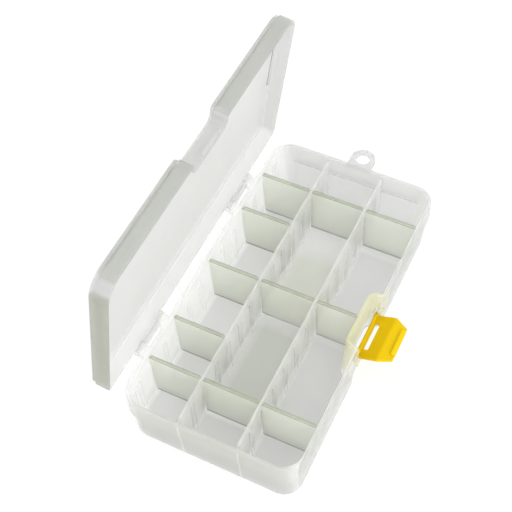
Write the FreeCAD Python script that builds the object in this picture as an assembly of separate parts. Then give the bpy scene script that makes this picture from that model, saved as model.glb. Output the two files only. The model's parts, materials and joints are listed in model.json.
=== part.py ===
import FreeCAD, Part
import math
import os

os.makedirs("parts", exist_ok=True)

V = FreeCAD.Vector

# Sizes in millimetres. X runs across the box (hinge side -X, latch side +X), Y along it (hang ring at +Y),
# Z up from the underside of the tray.

# tray
box_len = 200.0  # over the band, along Y
box_wid = 103.4  # over the band, along X
corner_r = 13.0  # plan corner of the band
tray_h = 36.2  # underside to rim
band_h = 12.7  # height of the proud band below the rim
band_out = 1.3  # how far the band stands out from the body below it
body_lean = 1.2  # how far the body leans in from the band to the underside
rim_w = 2.3  # width of the rim
wall_lean = 1.4  # how far the inside face leans in from rim to floor
floor_t = 1.5
foot_soft = 0.9  # rounding of the lower outside edge
rim_soft = 0.4  # rounding of the rim and band edges
inner_soft = 0.8  # rounding between floor and walls

# latch recess, shared by the tray and the lid
notch_d = 7.3
notch_hw = 17.0
notch_lean = 3.0  # how much deeper the lid's notch is at the panel
mouth_r = 4.0  # outer corners of the recess
mouth_r_min = 1.5
deep_r = 2.7  # inner corners of the recess
deep_r_max = 5.4

# long dividers, moulded in the tray
long_x = 17.2
long_t = 1.4
long_drop = 1.0  # top edge below the rim
long_top = tray_h - long_drop

# loose dividers and their slots
loose_t = 1.4
loose_drop = 0.2  # top edge below the rim
loose_top = tray_h - loose_drop
loose_cut = 1.0  # cut corners
bead_w = 2.0  # thicker top edge
bead_h = 1.6
bead_soft = 0.3
end_gap = 0.25
slot_gap = 0.15  # on each side of a divider
slot_mid = 0.6  # middle slot, towards the hang ring
slot_steps = 6  # slots each side of the middle one
slot_margin = 16.0  # ends of the box to the outermost slots, before slot_mid moves them
slot_pitch = (box_len / 2 - slot_margin) / slot_steps
rib_w = 1.1
rib_out = 0.9
rib_drop = 6.5  # tops of the ribs below the rim
rib_top = tray_h - rib_drop
left_rows = (5, 3, 0, -3, -5)  # slot numbers, far end first
other_rows = (5, 0, -5)

# lid
lid_gap = 0.3  # rim to rim when shut
lid_d = 10.6  # depth over the panel
lid_wall = 1.5
lid_panel = 1.3
lid_step_h = 2.8  # height of the set-in border round the panel
lid_step_in = 0.9
lid_soft = 1.0
lid_rear_r = 4.0  # plan corners on the hinge side
rear_r_min = 1.2
lid_open = 81.0  # degrees, as photographed

# hinges
hinge_off = 4.2  # axis outside the band face
hinge_mids = {"far": 51.0, "near": -57.0}  # middle of each hinge, along Y
hinge_half = 14.2  # half the length of a hinge
lid_knuckle_half = 7.0
knuckle_gap = 0.3
knuckle_r = 2.6
pin_r = 1.0
pin_run = 0.06  # running clearance in the lid knuckle
arm_foot = 3.0  # extra depth of an arm where it meets the wall
arm_in = 0.9  # how far arms run into a wall

# latch
latch_x = 48.6
latch_drop = 16.4  # bar axis below the rim
latch_z = tray_h - latch_drop
latch_hw = 14.8
latch_t = 1.6
bar_r = 1.4
stub_r = 1.2
stub_run = 0.06
stub_len = 2.4
ear_r = 2.9
ear_gap = 0.3
ear_in = 0.8  # how far an ear runs into the recess side
latch_len = 20.0
lip_from = 12.0  # the finger lip starts this far above the bar
lip_deg = 28.0
lip_bend_r = 4.0
tip_hw = 10.4
tip_cut = 7.0  # length of the cut corners at the tip
window_hw = 9.2
window_h = 3.4
window_from = 1.6
hook_under = 18.2
hook_x = 48.9  # inner edge of the hook when shut
hook_lap = 0.6  # overlap of the hook and the lid's ledge
hook_clear = 0.3
hook_hw = 8.5
ledge_h = 1.1
ledge_hw = 9.0
latch_open = 68.0  # degrees, as photographed

# hang ring
ring_r = 7.5
ring_hole_r = 4.4
ring_t = 2.2
ring_off = 10.3  # centre beyond the band face
ring_flare = 2.5

half_l = box_len / 2
half_w = box_wid / 2
band_z = tray_h - band_h
floor_in = rim_w + wall_lean
lid_z = tray_h + lid_gap
lid_top = lid_z + lid_d
hinge_x = -half_w - hinge_off
hinge_z = tray_h + lid_gap / 2
notch_x = half_w - notch_d


def rounded(corners, z):
    # closed wire at height z through corners (x, y, radius)
    count = len(corners)
    arcs = []
    for i in range(count):
        px, py, r = corners[i]
        ax, ay, _ = corners[i - 1]
        bx, by, _ = corners[(i + 1) % count]
        here = V(px, py, z)
        back = V(ax - px, ay - py, 0).normalize()
        ahead = V(bx - px, by - py, 0).normalize()
        half = back.getAngle(ahead) / 2
        run = r / math.tan(half)
        inward = (back + ahead).normalize()
        middle = here + inward * (r / math.sin(half) - r)
        arcs.append((here + back * run, middle, here + ahead * run))
    edges = []
    for i in range(count):
        start, middle, end = arcs[i]
        edges.append(Part.Arc(start, middle, end).toShape())
        edges.append(Part.LineSegment(end, arcs[(i + 1) % count][0]).toShape())
    return Part.Wire(edges)


def outline(inset, z, deeper=0.0, hinge_r=corner_r):
    # plan of the box with the latch recess, moved inwards by inset
    hx = half_w - inset
    hy = half_l - inset
    nx = notch_x - inset - deeper
    ny = notch_hw + inset
    big = corner_r - inset
    rear = max(hinge_r - inset, rear_r_min)
    mouth = max(mouth_r - inset, mouth_r_min)
    deep = min(deep_r + inset, deep_r_max)
    corners = [
        (-hx, -hy, rear),
        (hx, -hy, big),
        (hx, -ny, mouth),
        (nx, -ny, deep),
        (nx, ny, deep),
        (hx, ny, mouth),
        (hx, hy, big),
        (-hx, hy, rear),
    ]
    return rounded(corners, z)


def stack(levels):
    # solid through outlines given as (inset, z)
    return Part.makeLoft([outline(*level) for level in levels], True, True)


def lid_stack(levels):
    # the same for the lid, with squarer hinge corners and a notch that leans towards the panel
    leaning = []
    for inset, z in levels:
        lean = notch_lean * max(z - lid_z, 0.0) / lid_d
        leaning.append((inset, z, lean, lid_rear_r))
    return stack(leaning)


def block(x0, x1, y0, y1, z0, z1):
    return Part.makeBox(x1 - x0, y1 - y0, z1 - z0, V(x0, y0, z0))


def slab(points, y0, y1):
    # polygon of (x, z) points, extruded along Y
    ring = [V(x, y0, z) for x, z in points]
    face = Part.Face(Part.makePolygon(ring + ring[:1]))
    return face.extrude(V(0, y1 - y0, 0))


def rod(r, x, z, y0, y1):
    return Part.makeCylinder(r, y1 - y0, V(x, y0, z), V(0, 1, 0))


def inside_x(z):
    # inside face of a side wall at height z
    return half_w - rim_w - wall_lean * (tray_h - z) / (tray_h - floor_t)


def save(shape, name):
    shape.exportStep("parts/" + name + ".step")


# tray shell: the body leans in below the band
foot_in = band_out + body_lean
shell = stack([
    (foot_in + foot_soft, 0.0),
    (foot_in + 0.3 * foot_soft, 0.3 * foot_soft),
    (foot_in, foot_soft),
    (band_out, band_z),
    (0.0, band_z + rim_soft),
    (0.0, tray_h - rim_soft),
    (rim_soft, tray_h),
])
hollow = stack([
    (floor_in + inner_soft, floor_t),
    (floor_in + 0.3 * inner_soft, floor_t + 0.3 * inner_soft),
    (floor_in, floor_t + inner_soft),
    (rim_w, tray_h - rim_soft),
    (rim_w - rim_soft, tray_h),
    (rim_w - rim_soft, tray_h + 1.0),
])

# long dividers and slot ribs stay standing when the hollow is cut
standing = []
for x in (-long_x, long_x):
    profile = [
        (x - long_t / 2, 0.0),
        (x + long_t / 2, 0.0),
        (x + long_t / 2, long_top - bead_soft),
        (x + long_t / 2 - bead_soft, long_top),
        (x - long_t / 2 + bead_soft, long_top),
        (x - long_t / 2, long_top - bead_soft),
    ]
    standing.append(slab(profile, -half_l, half_l))

slot_half = loose_t / 2 + slot_gap
for step in range(-slot_steps, slot_steps + 1):
    slot_y = slot_mid + step * slot_pitch
    for y0 in (slot_y + slot_half, slot_y - slot_half - rib_w):
        y1 = y0 + rib_w
        for x in (-long_x, long_x):
            reach = long_t / 2 + rib_out
            standing.append(block(x - reach, x + reach, y0, y1, 0.0, rib_top))
        low = inside_x(floor_t)
        high = inside_x(rib_top)
        back = [(-high - 0.3, rib_top), (-low - 0.3, floor_t - 0.5)]
        front = [(-low + rib_out, floor_t - 0.5), (-high + rib_out, rib_top)]
        standing.append(slab(back + front, y0, y1))
        shift = notch_d if step == 0 else 0.0
        if abs(step) == 1:
            continue  # rounded ends of the latch recess
        back = [(high + 0.3 - shift, rib_top), (low + 0.3 - shift, floor_t - 0.5)]
        front = [(low - rib_out - shift, floor_t - 0.5), (high - rib_out - shift, rib_top)]
        standing.append(slab(back + front, y0, y1))

tray = shell.cut(hollow.cut(standing))

# hinge knuckles with arms down to the band
added = []
for mid in hinge_mids.values():
    inner = lid_knuckle_half + knuckle_gap
    for y0, y1 in ((mid - hinge_half, mid - inner), (mid + inner, mid + hinge_half)):
        arm = [
            (hinge_x, tray_h),
            (hinge_x, hinge_z - knuckle_r),
            (-half_w, hinge_z - knuckle_r - arm_foot),
            (-half_w + arm_in, hinge_z - knuckle_r - arm_foot),
            (-half_w + arm_in, tray_h - rim_soft),
            (-half_w - 0.2, tray_h),
        ]
        added.append(slab(arm, y0, y1))
        added.append(rod(knuckle_r, hinge_x, hinge_z, y0, y1))

# latch ears on the sides of the recess
side_y = notch_hw + band_out + body_lean * (band_z - latch_z) / band_z
for sign in (-1, 1):
    y0, y1 = sorted((sign * (latch_hw + ear_gap), sign * (side_y + ear_in)))
    added.append(rod(ear_r, latch_x, latch_z, y0, y1))

# hang ring on the far wall
ring_y = half_l + ring_off
ring_z = tray_h - band_h / 2
tab = [
    (-ring_r - ring_flare, half_l - 1.0),
    (-ring_r - ring_flare, half_l),
    (-ring_r, half_l + ring_flare),
    (-ring_r, ring_y),
    (ring_r, ring_y),
    (ring_r, half_l + ring_flare),
    (ring_r + ring_flare, half_l),
    (ring_r + ring_flare, half_l - 1.0),
]
ring_low = ring_z - ring_t / 2
corners = [V(x, y, ring_low) for x, y in tab]
added.append(Part.Face(Part.makePolygon(corners + corners[:1])).extrude(V(0, 0, ring_t)))
added.append(Part.makeCylinder(ring_r, ring_t, V(0, ring_y, ring_low)))

bores = [Part.makeCylinder(ring_hole_r, ring_t + 2.0, V(0, ring_y, ring_low - 1.0))]
for mid in hinge_mids.values():
    bores.append(rod(pin_r, hinge_x, hinge_z, mid - hinge_half - 1.0, mid + hinge_half + 1.0))
for sign in (-1, 1):
    y0, y1 = sorted((sign * latch_hw, sign * (latch_hw + stub_len + ear_gap)))
    bores.append(rod(stub_r + stub_run, latch_x, latch_z, y0, y1))

tray = tray.fuse(added).cut(bores).removeSplitter()
save(tray, "tray")

# hinge pins
for name, mid in hinge_mids.items():
    pin = rod(pin_r, hinge_x, hinge_z, mid - hinge_half, mid + hinge_half)
    save(pin, "hinge_pin_" + name)

# lid, built shut and then swung open about the hinge axis
step_z = lid_top - lid_step_h
lid = lid_stack([
    (rim_soft, lid_z),
    (0.0, lid_z + rim_soft),
    (0.0, step_z),
    (lid_step_in, step_z + 0.5),
    (lid_step_in, lid_top - lid_soft),
    (lid_step_in + 0.3 * lid_soft, lid_top - 0.3 * lid_soft),
    (lid_step_in + lid_soft, lid_top),
])
under = lid_top - lid_panel
lid_hollow = lid_stack([
    (lid_wall, lid_z - 1.0),
    (lid_wall, step_z - 1.0),
    (lid_wall + lid_step_in, step_z),
    (lid_wall + lid_step_in, under - 0.5),
    (lid_wall + lid_step_in + 0.5, under),
])
lid = lid.cut(lid_hollow)

lid_added = []
for mid in hinge_mids.values():
    y0 = mid - lid_knuckle_half
    y1 = mid + lid_knuckle_half
    arm = [
        (hinge_x, lid_z),
        (-half_w + arm_in, lid_z),
        (-half_w + arm_in, hinge_z + knuckle_r + arm_foot),
        (-half_w, hinge_z + knuckle_r + arm_foot),
        (hinge_x, hinge_z + knuckle_r),
    ]
    lid_added.append(slab(arm, y0, y1))
    lid_added.append(rod(knuckle_r, hinge_x, hinge_z, y0, y1))

# ledge in the notch, which the latch hook passes over
ledge_top = latch_z + hook_under - hook_clear
ledge_x = hook_x + hook_lap
ledge = [
    (notch_x - 0.8, ledge_top - ledge_h),
    (ledge_x - 0.9, ledge_top - ledge_h),
    (ledge_x, ledge_top - 0.5),
    (ledge_x, ledge_top),
    (notch_x - 0.8, ledge_top),
]
lid_added.append(slab(ledge, -ledge_hw, ledge_hw))

lid_bores = []
for mid in hinge_mids.values():
    lid_bores.append(rod(pin_r + pin_run, hinge_x, hinge_z, mid - hinge_half, mid + hinge_half))
lid = lid.fuse(lid_added).cut(lid_bores).removeSplitter()
lid.rotate(V(hinge_x, 0, hinge_z), V(0, -1, 0), lid_open)
save(lid, "lid")

# latch, built shut and then swung open about its bar
bend = math.radians(lip_deg)
bend_x = latch_x + latch_t / 2 + lip_bend_r
bend_z = latch_z + lip_from
lip_run = latch_len - lip_from - lip_bend_r * bend


def bent(radius, turn, run):
    # point on one face of the bent plate, as (x, z)
    x = bend_x - radius * math.cos(turn) + run * math.sin(bend)
    z = bend_z + radius * math.sin(turn) + run * math.cos(bend)
    return x, z


face_r = lip_bend_r + latch_t
turns = [bend * k / 4 for k in range(5)]
inner_face = [(latch_x - latch_t / 2, latch_z)] + [bent(face_r, turn, 0.0) for turn in turns]
outer_face = [(latch_x + latch_t / 2, latch_z)] + [bent(lip_bend_r, turn, 0.0) for turn in turns]
inner_tip = bent(face_r, bend, lip_run)
outer_tip = bent(lip_bend_r, bend, lip_run)
plate = slab(inner_face + [inner_tip, outer_tip] + outer_face[::-1], -latch_hw, latch_hw)

front = [
    (-latch_hw, latch_z - 5.0),
    (latch_hw, latch_z - 5.0),
    (latch_hw, latch_z + latch_len - tip_cut),
    (tip_hw, latch_z + latch_len + 0.5),
    (-tip_hw, latch_z + latch_len + 0.5),
    (-latch_hw, latch_z + latch_len - tip_cut),
]
corners = [V(latch_x - 20.0, y, z) for y, z in front]
plate = plate.common(Part.Face(Part.makePolygon(corners + corners[:1])).extrude(V(40.0, 0, 0)))
window_z = latch_z + window_from
window = block(latch_x - 5.0, latch_x + 5.0, -window_hw, window_hw, window_z, window_z + window_h)
plate = plate.cut(window)

hook_z = latch_z + hook_under
arc_end = bent(face_r, bend, 0.0)
face_x = arc_end[0] + (hook_z - arc_end[1]) * math.tan(bend)
hook = [
    (face_x + 0.5, hook_z),
    (hook_x, hook_z),
    (hook_x + 0.3, hook_z + 0.9),
    inner_tip,
    (inner_tip[0] + 0.5, inner_tip[1]),
]
latch = plate.fuse([
    slab(hook, -hook_hw, hook_hw),
    rod(bar_r, latch_x, latch_z, -latch_hw, latch_hw),
    rod(stub_r, latch_x, latch_z, -latch_hw - stub_len, latch_hw + stub_len),
]).removeSplitter()
latch.rotate(V(latch_x, 0, latch_z), V(0, 1, 0), latch_open)
save(latch, "latch")


# loose dividers
def divider(left, right, slot):
    # left and right give the end faces as x at a height z
    y = slot_mid + slot * slot_pitch
    bead_z = loose_top - bead_h
    plate = [
        (left(floor_t) + loose_cut, floor_t),
        (right(floor_t) - loose_cut, floor_t),
        (right(floor_t + loose_cut), floor_t + loose_cut),
        (right(loose_top - loose_cut), loose_top - loose_cut),
        (right(loose_top) - loose_cut, loose_top),
        (left(loose_top) + loose_cut, loose_top),
        (left(loose_top - loose_cut), loose_top - loose_cut),
        (left(floor_t + loose_cut), floor_t + loose_cut),
    ]
    body = slab(plate, y - loose_t / 2, y + loose_t / 2)
    edge = [
        (y - bead_w / 2, bead_z + bead_soft),
        (y - loose_t / 2, bead_z),
        (y + loose_t / 2, bead_z),
        (y + bead_w / 2, bead_z + bead_soft),
        (y + bead_w / 2, loose_top - bead_soft),
        (y + bead_w / 2 - bead_soft, loose_top),
        (y - bead_w / 2 + bead_soft, loose_top),
        (y - bead_w / 2, loose_top - bead_soft),
    ]
    x0 = left(loose_top) + loose_cut
    x1 = right(loose_top) - loose_cut
    corners = [V(x0, py, pz) for py, pz in edge]
    bead = Part.Face(Part.makePolygon(corners + corners[:1])).extrude(V(x1 - x0, 0, 0))
    return body.fuse(bead).removeSplitter()


def wall_left(z):
    return -inside_x(z) + end_gap


def wall_right(z):
    return inside_x(z) - end_gap


def recess_right(z):
    return inside_x(z) - notch_d - end_gap


def level(x):
    return lambda z: x


long_in = long_x - long_t / 2 - end_gap
long_out = long_x + long_t / 2 + end_gap
for number, slot in enumerate(left_rows, 1):
    save(divider(wall_left, level(-long_out), slot), "divider_left_" + str(number))
for number, slot in enumerate(other_rows, 1):
    save(divider(level(-long_in), level(long_in), slot), "divider_middle_" + str(number))
    end = recess_right if slot == 0 else wall_right
    save(divider(level(long_out), end, slot), "divider_right_" + str(number))
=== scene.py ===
import json
from math import radians
import bpy
from mathutils import Matrix, Vector

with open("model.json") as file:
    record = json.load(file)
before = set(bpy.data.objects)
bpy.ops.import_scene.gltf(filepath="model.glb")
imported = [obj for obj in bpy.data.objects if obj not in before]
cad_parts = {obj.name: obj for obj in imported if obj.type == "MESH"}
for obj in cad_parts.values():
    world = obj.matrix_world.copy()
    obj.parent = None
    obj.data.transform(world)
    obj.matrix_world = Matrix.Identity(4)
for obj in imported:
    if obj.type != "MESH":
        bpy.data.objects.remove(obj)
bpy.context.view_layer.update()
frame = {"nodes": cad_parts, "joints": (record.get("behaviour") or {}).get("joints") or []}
nodes = frame["nodes"]
scene = bpy.context.scene
scene.view_settings.view_transform = "Standard"

# camera
view = {
    "lens": 74.292,
    "sensor": 36.0,
    "clip": (0.01, 50.0),
    "place": (0.141867, -0.295874, 0.524186),
    "right": (0.898556, 0.437745, -0.031239),
    "up": (-0.339015, 0.737571, 0.584002),
}
cameraData = bpy.data.cameras.new("viewCamera")
cameraData.lens = view["lens"]
cameraData.sensor_width = view["sensor"]
cameraData.clip_start, cameraData.clip_end = view["clip"]
camera = bpy.data.objects.new("viewCamera", cameraData)
scene.collection.objects.link(camera)
right = Vector(view["right"]).normalized()
up = Vector(view["up"]).normalized()
back = right.cross(up).normalized()
turn = Matrix((right, up, back)).transposed().to_4x4()
camera.matrix_world = Matrix.Translation(view["place"]) @ turn
scene.camera = camera
print("camera set")


# shader helpers
def link(tree, source, target):
    tree.links.new(source, target)


def mathNode(tree, kind, first, second):
    node = tree.nodes.new("ShaderNodeMath")
    node.operation = kind
    for socket, value in zip(node.inputs, (first, second)):
        if isinstance(value, (int, float)):
            socket.default_value = value
        else:
            link(tree, value, socket)
    return node.outputs[0]


def spread(tree, value, low, high, start=0.0, end=1.0):
    # start to end becomes low to high, and stays there beyond them
    node = tree.nodes.new("ShaderNodeMapRange")
    node.inputs["From Min"].default_value = start
    node.inputs["From Max"].default_value = end
    node.inputs["To Min"].default_value = low
    node.inputs["To Max"].default_value = high
    link(tree, value, node.inputs["Value"])
    return node.outputs["Result"]


def noise(tree, place, look):
    node = tree.nodes.new("ShaderNodeTexNoise")
    node.inputs["Scale"].default_value = look["scale"]
    node.inputs["Detail"].default_value = look["detail"]
    node.inputs["Roughness"].default_value = look["rough"]
    link(tree, place, node.inputs["Vector"])
    return node.outputs["Fac"]


def overlay(tree, mask, under):
    # colour A is the one under the mask, colour B is left to the caller
    node = tree.nodes.new("ShaderNodeMix")
    node.data_type = "RGBA"
    link(tree, mask, node.inputs["Factor"])
    link(tree, under, node.inputs["A"])
    return node


def newGroup(name, inputs, outputs):
    group = bpy.data.node_groups.new(name, "ShaderNodeTree")
    for label, kind, value in inputs:
        socket = group.interface.new_socket(name=label, in_out="INPUT", socket_type=kind)
        socket.default_value = value
    for label, kind in outputs:
        group.interface.new_socket(name=label, in_out="OUTPUT", socket_type=kind)
    start = group.nodes.new("NodeGroupInput")
    end = group.nodes.new("NodeGroupOutput")
    return group, start.outputs, end.inputs


# second colour where the surface turns sharply
edgeTurn = {"start": 0.52, "full": 0.6}  # pointiness
paleGrey = (0.9, 0.9, 0.9, 1.0)
edgeTint, given, made = newGroup(
    "edgeTint",
    [("Tint", "NodeSocketColor", paleGrey), ("Edge", "NodeSocketColor", paleGrey)],
    [("Color", "NodeSocketColor")],
)
pointiness = edgeTint.nodes.new("ShaderNodeNewGeometry").outputs["Pointiness"]
edgeMask = spread(edgeTint, pointiness, 0.0, 1.0, edgeTurn["start"], edgeTurn["full"])
edged = overlay(edgeTint, edgeMask, given["Tint"])
link(edgeTint, given["Edge"], edged.inputs["B"])
link(edgeTint, edged.outputs["Result"], made["Color"])

# moulded surface shared by all the plastic pieces: cloud in the resin, scuffs, fine grain
surface = {
    "cloud": {"scale": 42.0, "detail": 2.0, "rough": 0.5, "value": (0.975, 1.0)},
    "scuff": {"scale": 120.0, "detail": 5.0, "rough": 0.65, "gloss": (-0.02, 0.05)},
    "grain": {"scale": 2600.0, "detail": 2.0, "rough": 0.5, "depth": 0.00002, "strength": 0.35},
    "noiseRange": (0.3, 0.7),  # where most of the noise lies
}
moulded, given, made = newGroup(
    "mouldedSurface",
    [("Tint", "NodeSocketColor", paleGrey), ("Gloss", "NodeSocketFloat", 0.3)],
    [("Color", "NodeSocketColor"), ("Roughness", "NodeSocketFloat"), ("Normal", "NodeSocketVector")],
)
place = moulded.nodes.new("ShaderNodeTexCoord").outputs["Object"]
cloud = noise(moulded, place, surface["cloud"])
scuff = noise(moulded, place, surface["scuff"])
grain = noise(moulded, place, surface["grain"])
hue = moulded.nodes.new("ShaderNodeHueSaturation")
link(moulded, given["Tint"], hue.inputs["Color"])
clouded = spread(moulded, cloud, *surface["cloud"]["value"], *surface["noiseRange"])
link(moulded, clouded, hue.inputs["Value"])
link(moulded, hue.outputs["Color"], made["Color"])
scuffed = spread(moulded, scuff, *surface["scuff"]["gloss"], *surface["noiseRange"])
link(moulded, mathNode(moulded, "ADD", given["Gloss"], scuffed), made["Roughness"])
bump = moulded.nodes.new("ShaderNodeBump")
bump.inputs["Strength"].default_value = surface["grain"]["strength"]
bump.inputs["Distance"].default_value = surface["grain"]["depth"]
link(moulded, grain, bump.inputs["Height"])
link(moulded, bump.outputs["Normal"], made["Normal"])
print("shared surface made")


def patch(across, along, upright, soft, tint, lean=0.0):
    # a box of another tint: its spans on X, Y and Z, the fade at its faces, its slant
    return {"spans": (across, along, upright), "soft": soft, "tint": tint, "lean": lean}


def mirrored(span, side):
    # the span itself for side 1, its mirror image for side -1
    return tuple(sorted(side * edge for edge in span))


def boxMask(tree, place, spans, soft, lean):
    # 1 inside the box, fading over soft at its faces; lean slants it across X with height
    parts = tree.nodes.new("ShaderNodeSeparateXYZ")
    link(tree, place, parts.inputs[0])
    x, y, z = parts.outputs
    slanted = mathNode(tree, "ADD", x, mathNode(tree, "MULTIPLY", z, lean))
    mask = None
    for value, (low, high) in zip((slanted, y, z), spans):
        rise = spread(tree, value, 0.0, 1.0, low - soft, low + soft)
        fall = spread(tree, value, 1.0, 0.0, high - soft, high + soft)
        both = mathNode(tree, "MULTIPLY", rise, fall)
        mask = both if mask is None else mathNode(tree, "MULTIPLY", mask, both)
    return mask


def patched(tree, look, color):
    # the colour with another laid over each box in turn
    place = tree.nodes.new("ShaderNodeTexCoord").outputs["Object"]
    if "hinge" in look:  # the boxes of a swung piece are given as if it lay shut, from its hinge
        unswing = tree.nodes.new("ShaderNodeMapping")
        unswing.vector_type = "TEXTURE"
        unswing.inputs["Location"].default_value = look["hinge"]["pos_m"]
        unswing.inputs["Rotation"].default_value = (0.0, radians(look["hinge"]["range_deg"][0]), 0.0)
        link(tree, place, unswing.inputs["Vector"])
        place = unswing.outputs["Vector"]
    for area in look["patches"]:
        mask = boxMask(tree, place, area["spans"], area["soft"], area["lean"])
        laid = overlay(tree, mask, color)
        laid.inputs["B"].default_value = (*area["tint"], 1.0)
        color = laid.outputs["Result"]
    return color


def thinned(tree, look):
    # the cover, with less of it over the slot ribs on the long dividers and the side walls
    place = tree.nodes.new("ShaderNodeTexCoord").outputs["Object"]
    ribs = look["ribs"]
    rows = []
    for side in (-1, 1):
        for face in (-1, 1):
            across = tuple(side * ribs["divider"] + edge for edge in mirrored(ribs["stand"], face))
            rows.append((across, 0.0))
        rows.append((mirrored(ribs["wall"], side), -side * ribs["wallLean"]))
    faint = None
    for across, lean in rows:
        mask = boxMask(tree, place, (across, ribs["along"], ribs["upright"]), ribs["soft"], lean)
        faint = mask if faint is None else mathNode(tree, "ADD", faint, mask)
    return spread(tree, faint, look["cover"], ribs["cover"])


milkRadius = (1.0, 1.0, 0.9)  # red, green and blue light inside the plastic


def plastic(name, look):
    material = bpy.data.materials.new(name)
    material.use_nodes = True
    tree = material.node_tree
    shader = tree.nodes["Principled BSDF"]
    base = tree.nodes.new("ShaderNodeGroup")
    base.node_tree = edgeTint
    base.inputs["Tint"].default_value = (*look["tint"], 1.0)
    base.inputs["Edge"].default_value = (*look["edge"], 1.0)
    skin = tree.nodes.new("ShaderNodeGroup")
    skin.node_tree = moulded
    skin.inputs["Gloss"].default_value = look["gloss"]
    color = base.outputs["Color"]
    if "patches" in look:
        color = patched(tree, look, color)
    link(tree, color, skin.inputs["Tint"])
    link(tree, skin.outputs["Color"], shader.inputs["Base Color"])
    link(tree, skin.outputs["Roughness"], shader.inputs["Roughness"])
    link(tree, skin.outputs["Normal"], shader.inputs["Normal"])
    shader.inputs["IOR"].default_value = look["ior"]
    shader.inputs["Transmission Weight"].default_value = look["clear"]
    shader.inputs["Subsurface Weight"].default_value = look["milk"]
    shader.inputs["Subsurface Radius"].default_value = milkRadius
    shader.inputs["Subsurface Scale"].default_value = look["depth"]
    shader.inputs["Alpha"].default_value = look["cover"]
    if "ribs" in look:
        link(tree, thinned(tree, look), shader.inputs["Alpha"])
    shader.inputs["Specular IOR Level"].default_value = look["shine"]
    return material


def dress(name, material):
    target = nodes[name]
    target.data.materials.clear()
    target.data.materials.append(material)


# spans in metres that hold a whole piece
allX = (-0.1, 0.1)
allY = (-0.2, 0.2)
allZ = (-0.01, 0.05)

# tray: painted shade greying the floors, the end walls and the wall on the latch side, darker and greener
# on the middle floor; painted yellow light beside the latch; faint slot ribs
trayLook = {
    "tint": (0.99, 0.995, 0.95), "edge": (0.93, 0.94, 0.89), "gloss": 0.45, "ior": 1.25,
    "clear": 0.1, "milk": 0.8, "depth": 0.02, "cover": 0.4, "shine": 0.3,
    "floorX": (-0.046, 0.046),
    "floorY": (-0.0955, 0.0955),
    "floorZ": (-0.01, 0.003),
    # height of the darker, greener painted shade on the middle floor
    "middleShadeZ": (-0.01, 0.006),
    "middleX": (-0.0165, 0.0165),  # between the long dividers
    "latchX": (0.0185, 0.046),  # column on the latch side
    "farY": (0.0955, 0.2),
    "ribs": {
        "cover": 0.06, "soft": 0.00002, "along": (-0.09, 0.09), "upright": (0.0024, 0.0298),
        "divider": 0.0172,  # long dividers, from the middle of the box
        "stand": (0.00073, 0.0017),  # face of a long divider to past its ribs
        "wall": (0.04695, 0.0479),  # ribs of a side wall, carried down its slant to the underside
        "wallLean": 0.04035,  # slant of the side walls
    },
    "lines": {  # painted light: pale lines on the near wall where the ends of the long dividers show through it
        "middles": (-0.0161, 0.0183), "half": 0.0005, "soft": 0.0004, "tint": (0.76, 0.78, 0.7),
        "levels": [  # wall below the band, then the band
            {"shift": 0.0, "along": (-0.2, -0.0972), "upright": (0.001, 0.0238)},
            {"shift": 0.0006, "along": (-0.2, -0.0985), "upright": (0.0238, 0.035)},
        ],
    },
}
floorX, floorY, floorZ = trayLook["floorX"], trayLook["floorY"], trayLook["floorZ"]
middleX, latchX, middleShadeZ = trayLook["middleX"], trayLook["latchX"], trayLook["middleShadeZ"]
farY, nearY = trayLook["farY"], mirrored(trayLook["farY"], -1)
trayLook["patches"] = [
    # painted shade on the floors: darker and greener in the middle, darker towards the near end of the
    # middle and latch-side columns
    patch(floorX, floorY, floorZ, soft=0.0008, tint=(0.8, 0.805, 0.78)),
    patch(middleX, (-0.064, -0.004), middleShadeZ, soft=0.006, tint=(0.36, 0.39, 0.29)),
    patch(middleX, (0.012, 0.05), middleShadeZ, soft=0.006, tint=(0.58, 0.61, 0.46)),
    patch(middleX, (-0.2, -0.072), floorZ, soft=0.001, tint=(0.58, 0.585, 0.54)),
    patch(latchX, (-0.2, 0.065), floorZ, soft=0.0015, tint=(0.64, 0.645, 0.625)),
    patch(latchX, (-0.2, -0.004), floorZ, soft=0.0015, tint=(0.54, 0.545, 0.52)),
    # painted shade on the wall on the latch side
    patch((0.0486, 0.1), allY, allZ, soft=0.0002, tint=(0.56, 0.57, 0.54), lean=-0.04),
    # painted shade, deeper at its far corner
    patch((0.036, 0.1), (0.086, 0.2), (0.0, 0.05), soft=0.006, tint=(0.66, 0.665, 0.65)),
    # painted yellow light thrown by the yellow latch onto the wall beside it
    patch((0.038, 0.07), (-0.021, 0.021), (0.007, 0.05), soft=0.005, tint=(0.84, 0.83, 0.44)),
    # painted shade greying the end walls, darker low on the near wall
    patch(allX, farY, allZ, soft=0.0015, tint=(0.54, 0.545, 0.53)),
    patch(allX, nearY, allZ, soft=0.0015, tint=(0.58, 0.59, 0.54)),
    patch(allX, nearY, (-0.01, 0.02), soft=0.009, tint=(0.5, 0.505, 0.48)),
]
lines = trayLook["lines"]
for middle in lines["middles"]:
    for level in lines["levels"]:
        start = middle + level["shift"] - lines["half"]
        end = middle + level["shift"] + lines["half"]
        line = patch((start, end), level["along"], level["upright"], lines["soft"], lines["tint"])
        trayLook["patches"].append(line)
# painted shade: dark line under the band of the far wall
farShadeLine = patch((-0.041, 0.041), (0.0955, 0.1025), (0.023, 0.0239), soft=0.0002, tint=(0.06, 0.065, 0.06))
trayLook["patches"].append(farShadeLine)
dress("tray", plastic("trayPlastic", trayLook))
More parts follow.
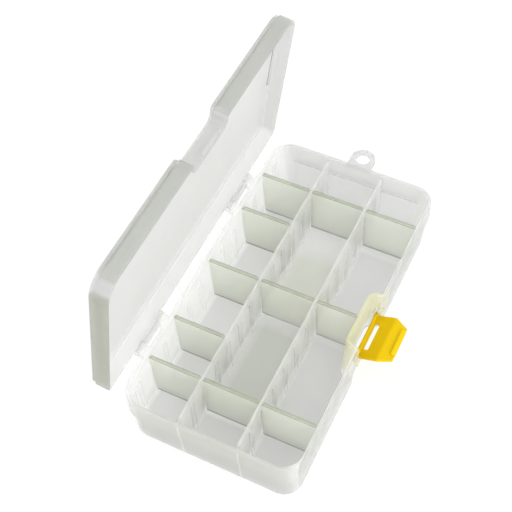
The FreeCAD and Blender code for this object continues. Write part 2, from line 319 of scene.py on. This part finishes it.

# lid: plastic tinted darker than the tray's as painted shade; more painted shade where the walls are seen
# through their height and towards the free edge; painted light on the hinge side; painted shade lines
# round the panel
lidLook = {
    "tint": (0.63, 0.635, 0.61), "edge": (0.55, 0.565, 0.545), "gloss": 0.42, "ior": 1.25,
    "clear": 0.1, "milk": 0.8, "depth": 0.02, "cover": 0.6, "shine": 0.3,
    "hinge": next(joint for joint in frame["joints"] if joint["name"] == "lid_hinge"),
    "lidX": (-0.1, 0.2),
    "lidY": (-0.0982, 0.0982),
    "lidZ": (-0.05, 0.05),
    "endY": (0.0982, 0.2),
    "lineZ": (0.0055, 0.0105),
    "lineY": (0.022, 0.087),  # notch to corner
}
lidX, lidY, lidZ = lidLook["lidX"], lidLook["lidY"], lidLook["lidZ"]
endY, lineY, lineZ = lidLook["endY"], lidLook["lineY"], lidLook["lineZ"]
lidLook["patches"] = [
    # painted shade, darker towards the free edge
    patch((0.092, 0.2), allY, lidZ, soft=0.018, tint=(0.51, 0.515, 0.51)),
    # painted shade on the free wall
    patch((0.1058, 0.2), allY, lidZ, soft=0.0006, tint=(0.36, 0.37, 0.34)),
    # painted shade on the end walls
    patch(lidX, endY, lidZ, soft=0.0006, tint=(0.53, 0.535, 0.53)),
    patch(lidX, mirrored(endY, -1), lidZ, soft=0.0006, tint=(0.27, 0.28, 0.23)),
    # painted light on the hinge side
    patch((-0.02, 0.0052), lidY, lidZ, soft=0.0012, tint=(0.96, 0.965, 0.95)),
    # painted shade lines round the panel: two at the free wall, one at the far end
    patch((0.1046, 0.1054), mirrored(lineY, -1), lineZ, soft=0.0002, tint=(0.1, 0.11, 0.1)),
    patch((0.1046, 0.1054), lineY, lineZ, soft=0.0002, tint=(0.1, 0.11, 0.1)),
    patch((0.045, 0.097), (0.0968, 0.0975), lineZ, soft=0.0002, tint=(0.14, 0.15, 0.14)),
]
dress("lid", plastic("lidPlastic", lidLook))

# loose dividers: darker and greener along the thick top edge; painted shade at the foot, where they meet
# the floor
dividerLook = {
    "tint": (0.84, 0.88, 0.73), "edge": (0.82, 0.86, 0.71), "gloss": 0.45, "ior": 1.25,
    "clear": 0.1, "milk": 0.8, "depth": 0.015, "cover": 0.45, "shine": 0.3,
    "patches": [
        patch(allX, allY, (0.0344, 0.05), soft=0.0004, tint=(0.3, 0.335, 0.24)),
        patch(allX, allY, (0.0, 0.0031), soft=0.0005, tint=(0.36, 0.385, 0.3)),
    ],
}
dividerPlastic = plastic("dividerPlastic", dividerLook)
for name in nodes:
    if name.startswith("divider"):
        dress(name, dividerPlastic)

# hinge pins
pinLook = {
    "tint": (0.88, 0.9, 0.87), "edge": (0.9, 0.92, 0.89), "gloss": 0.35, "ior": 1.4,
    "clear": 0.2, "milk": 0.6, "depth": 0.004, "cover": 0.7, "shine": 0.5,
}
pinPlastic = plastic("pinPlastic", pinLook)
for name in ("hinge_pin_far", "hinge_pin_near"):
    dress(name, pinPlastic)

# latch
latchLook = {
    "tint": (0.62, 0.4, 0.001), "edge": (0.72, 0.5, 0.004), "gloss": 0.45, "ior": 1.46,
    "clear": 0.0, "milk": 0.25, "depth": 0.002, "cover": 1.0, "shine": 0.08,
}
dress("latch", plastic("latchPlastic", latchLook))
print("pieces dressed")

# floor, a little below the underside
floorLook = {
    "half": 4.0, "drop": 0.0002, "shade": (0.97, 0.97, 0.97),
    "rough": 0.9, "shine": 0.0, "glow": 0.72,
}
half = floorLook["half"]
floorMesh = bpy.data.meshes.new("studioFloor")
signs = ((-1, -1), (1, -1), (1, 1), (-1, 1))
corners = [(half * x, half * y, -floorLook["drop"]) for x, y in signs]
floorMesh.from_pydata(corners, [], [(0, 1, 2, 3)])
floor = bpy.data.objects.new("studioFloor", floorMesh)
scene.collection.objects.link(floor)


def seenRay(tree):
    # 1 for rays that the camera, gloss or clear plastic sends, 0 for lighting rays
    path = tree.nodes.new("ShaderNodeLightPath").outputs
    seen = mathNode(tree, "ADD", path["Is Camera Ray"], path["Is Glossy Ray"])
    seen = mathNode(tree, "ADD", seen, path["Is Transmission Ray"])
    return mathNode(tree, "MINIMUM", seen, 1.0)


white = (1.0, 1.0, 1.0, 1.0)
floorMaterial = bpy.data.materials.new("floorPaper")
floorMaterial.use_nodes = True
tree = floorMaterial.node_tree
shader = tree.nodes["Principled BSDF"]
shader.inputs["Base Color"].default_value = (*floorLook["shade"], 1.0)
shader.inputs["Roughness"].default_value = floorLook["rough"]
shader.inputs["Specular IOR Level"].default_value = floorLook["shine"]
glow = tree.nodes.new("ShaderNodeEmission")
glow.inputs["Color"].default_value = white
mixed = tree.nodes.new("ShaderNodeMixShader")
link(tree, mathNode(tree, "MULTIPLY", seenRay(tree), floorLook["glow"]), mixed.inputs[0])
link(tree, shader.outputs[0], mixed.inputs[1])
link(tree, glow.outputs[0], mixed.inputs[2])
link(tree, mixed.outputs[0], tree.nodes["Material Output"].inputs["Surface"])
floorMesh.materials.append(floorMaterial)

# surroundings: white to the eye, softer as light
roomLook = {"light": 0.95}
world = bpy.data.worlds.new("studioRoom")
scene.world = world
world.use_nodes = True
tree = world.node_tree
backdrop = tree.nodes["Background"]
backdrop.inputs["Color"].default_value = white
strength = spread(tree, seenRay(tree), roomLook["light"], 1.0)
link(tree, strength, backdrop.inputs["Strength"])

# studio lights, turned to the middle of the box
lampAim = Vector((0.0, 0.0, 0.03))
lamps = {
    "overheadSoft": {"place": (0.3, 0.1, 1.4), "size": 1.2, "power": 4.0},
    "frontSoft": {"place": (1.0, -0.9, 0.9), "size": 1.3, "power": 12.0},
}
for name, look in lamps.items():
    lampData = bpy.data.lights.new(name, "AREA")
    lampData.size = look["size"]
    lampData.energy = look["power"]
    lamp = bpy.data.objects.new(name, lampData)
    lamp.location = look["place"]
    aim = lampAim - lamp.location
    lamp.rotation_euler = aim.to_track_quat("-Z", "Y").to_euler()
    scene.collection.objects.link(lamp)
print("studio set")
